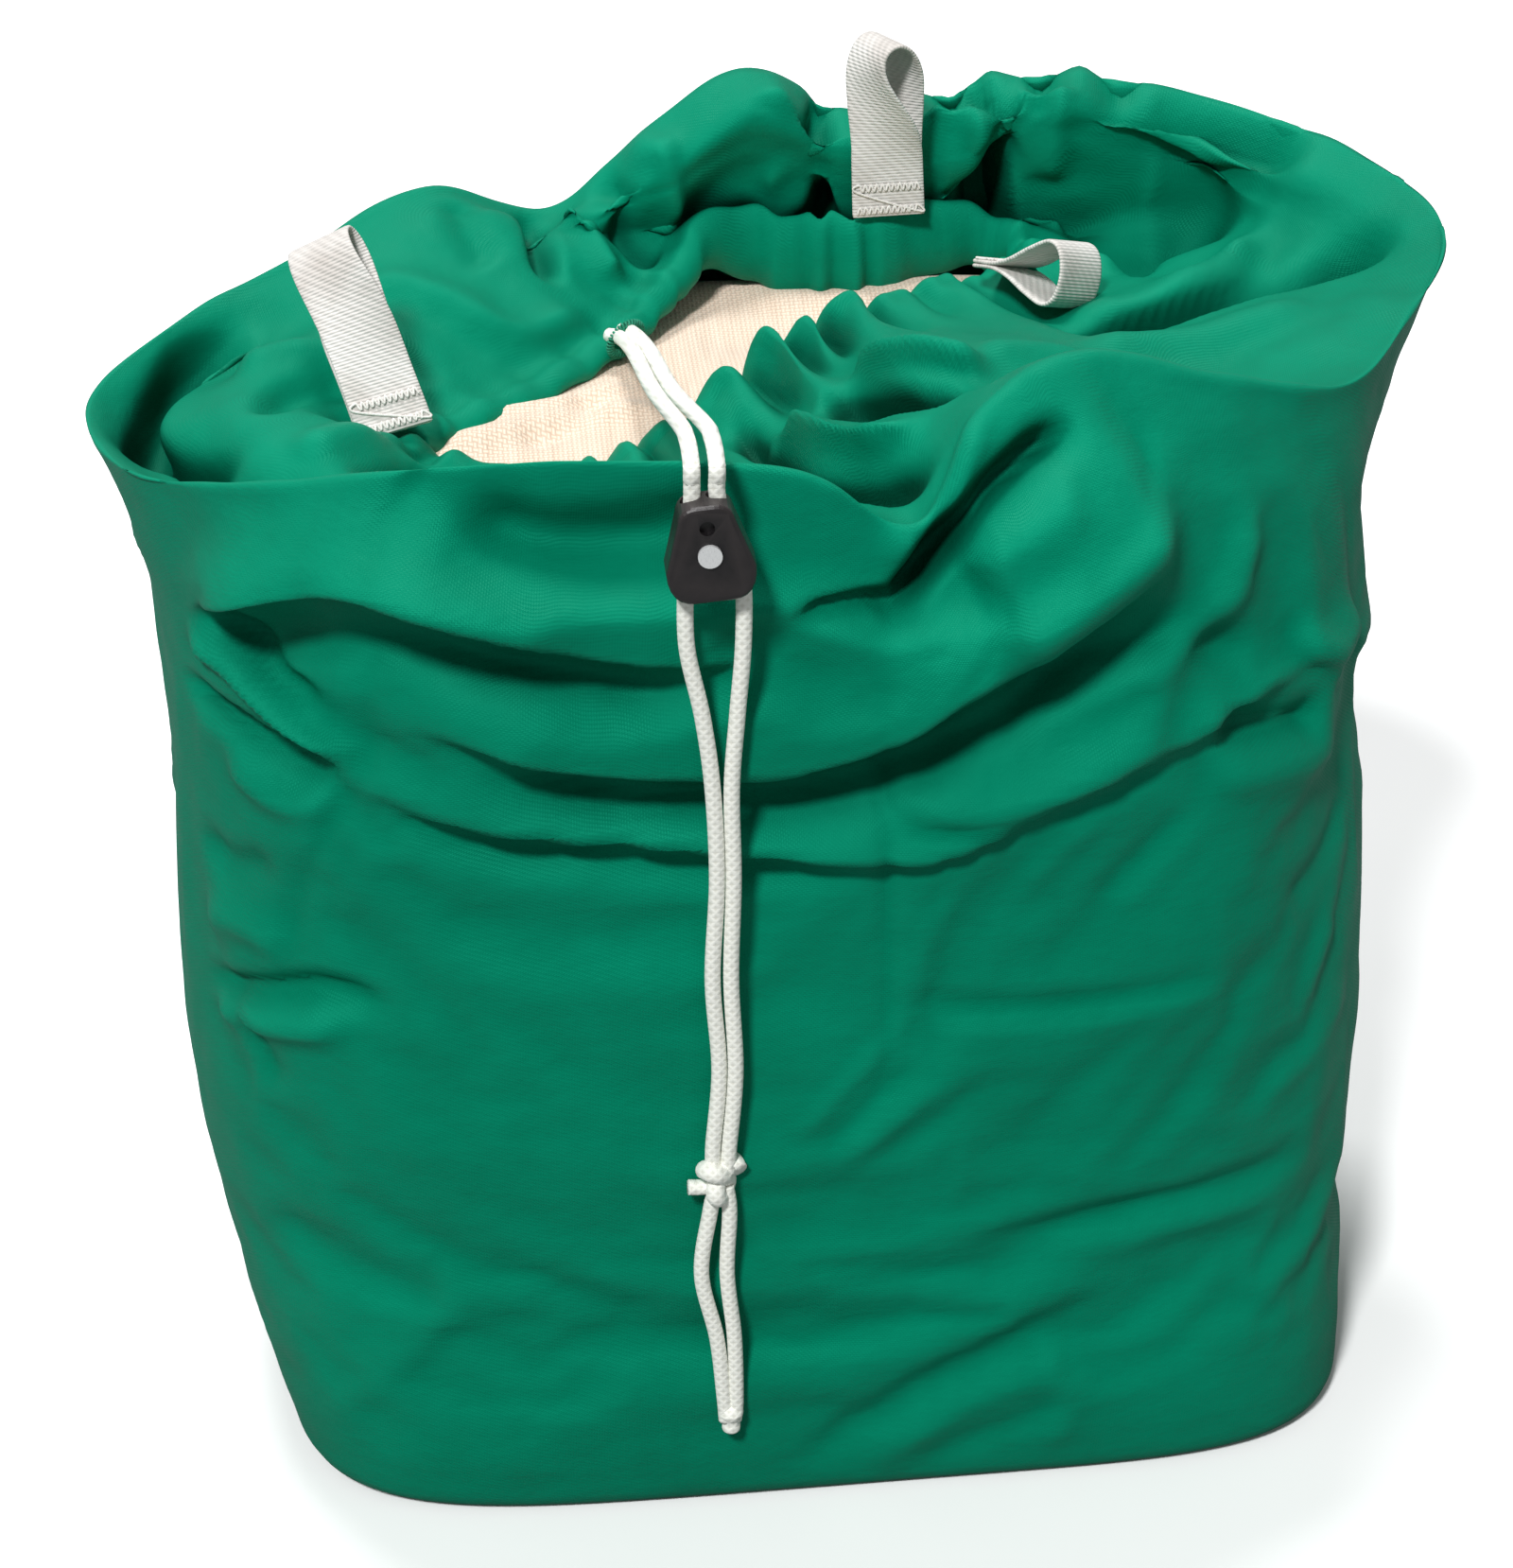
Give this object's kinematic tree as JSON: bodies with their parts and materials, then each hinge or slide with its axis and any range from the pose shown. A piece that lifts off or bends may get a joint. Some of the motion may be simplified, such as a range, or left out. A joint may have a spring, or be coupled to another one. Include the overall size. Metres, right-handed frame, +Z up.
{
  "type": "laundry bag",
  "caption": "Filled drawstring laundry bag standing with its collar turned in round the mouth, with webbing hanging loops, a drawcord and a sliding cord lock.",
  "frame": {"origin": "on the floor under the bag, on the flat underside of the base panel, below the middle of the mouth's front edge", "axes": "+Z up; -Y is the front, where the cord lock and the knotted cords hang; +X is to the right as seen from the front"},
  "size_m": [0.4532, 0.3118, 0.4232],
  "materials": {
    "bag_cloth": "satin",
    "webbing": "matte",
    "cord": "matte",
    "linen": "matte",
    "lock_plastic": "satin",
    "lock_metal": "satin"
  },
  "bodies": {
    "bag": {"base_panel": "bag_cloth", "front_panel": "bag_cloth", "back_panel": "bag_cloth", "front_slack_panel": "bag_cloth", "back_slack_panel": "bag_cloth", "folded_linen": "linen"},
    "top": {"front_collar": "bag_cloth", "back_collar": "bag_cloth", "mouth_hem": "bag_cloth", "buttonhole_stitching": "bag_cloth", "channel_cord": "cord", "left_cord_lead": "cord", "right_cord_lead": "cord", "left_loop_tack": "webbing", "back_loop_tack": "webbing", "right_loop_tack": "webbing"},
    "left_hanging_loop": {"left_loop": "webbing"},
    "back_hanging_loop": {"back_loop": "webbing"},
    "right_hanging_loop": {"right_loop": "webbing"},
    "drawcord": {"left_cord_upper": "cord", "right_cord_upper": "cord", "left_cord_lower": "cord", "right_cord_lower": "cord", "strand_knot": "cord", "left_cord_tail": "cord", "right_cord_tail": "cord", "end_knot": "cord"},
    "cord_lock": {"cord_lock_body": "lock_plastic", "cord_lock_spring": "lock_metal"},
    "lock_button": {"cord_lock_button": "lock_metal"}
  },
  "joints": [
    {"name": "top_lift", "type": "slide", "parent": "bag", "child": "top", "axis": [0, 0, 1], "range_m": [0, 0.06], "deforming": ["front_slack_panel", "back_slack_panel"]},
    {"name": "left_loop_swing", "type": "hinge", "parent": "top", "child": "left_hanging_loop", "pos_m": [-0.118, -0.028, 0.348], "axis": [0.9288, 0.358, 0.0952], "range_deg": [0, 70]},
    {"name": "back_loop_swing", "type": "hinge", "parent": "top", "child": "back_hanging_loop", "pos_m": [0.055, 0.104, 0.357], "axis": [1, 0, 0], "range_deg": [0, 75]},
    {"name": "right_loop_swing", "type": "hinge", "parent": "top", "child": "right_hanging_loop", "pos_m": [0.086, 0.056, 0.359], "axis": [-0.7139, -0.6178, 0.3296], "range_deg": [0, 60]},
    {"name": "drawcord_swing", "type": "hinge", "parent": "top", "child": "drawcord", "pos_m": [-0.0294, -0.1575, 0.387], "axis": [0, 1, 0], "range_deg": [-20, 20]},
    {"name": "cord_lock_slide", "type": "slide", "parent": "drawcord", "child": "cord_lock", "axis": [0, 0, -1], "range_m": [0, 0.1], "deforming": ["left_cord_upper", "right_cord_upper", "left_cord_lower", "right_cord_lower"]},
    {"name": "lock_button_press", "type": "slide", "parent": "cord_lock", "child": "lock_button", "axis": [0, 1, 0], "range_m": [0, 0.0022], "stiffness_N_per_m": 400, "springref_m": -0.001, "deforming": ["cord_lock_spring"]}
  ]
}
